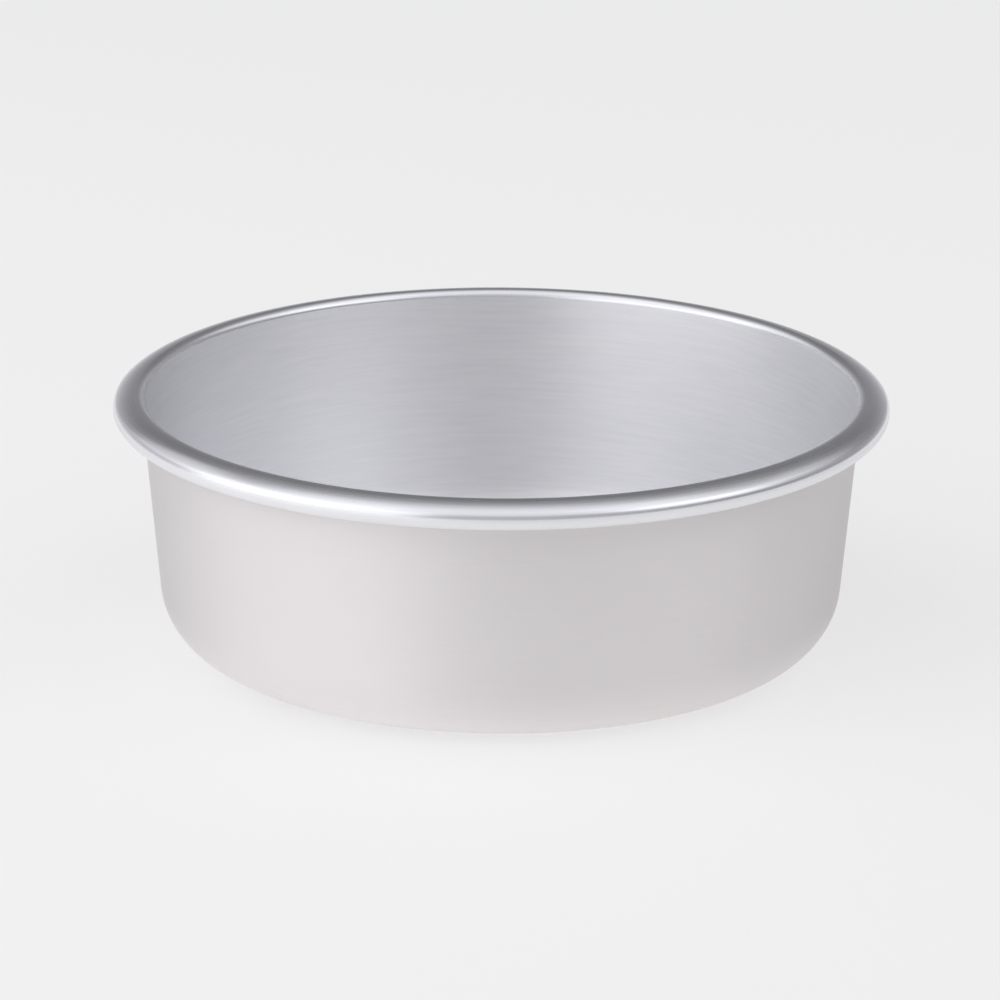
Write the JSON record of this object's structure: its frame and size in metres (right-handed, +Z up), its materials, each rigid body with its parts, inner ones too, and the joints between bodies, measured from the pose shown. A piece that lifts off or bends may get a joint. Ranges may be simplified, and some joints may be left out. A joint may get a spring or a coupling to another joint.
{
  "type": "cake pan",
  "caption": "Round tapered aluminium cake pan with a flat floor, a large rounded corner and a rim curled outwards over a wire, for baking a deep cake.",
  "frame": {"origin": "middle of the underside of the floor, on the pan's axis", "axes": "+Z up along the pan's axis, towards the open mouth"},
  "size_m": [0.218, 0.218, 0.074],
  "materials": {
    "satin_aluminium": "satin",
    "galvanised_steel": "galvanised"
  },
  "bodies": {
    "root": {"pan_shell": "satin_aluminium", "rim_wire": "galvanised_steel"}
  },
  "joints": []
}
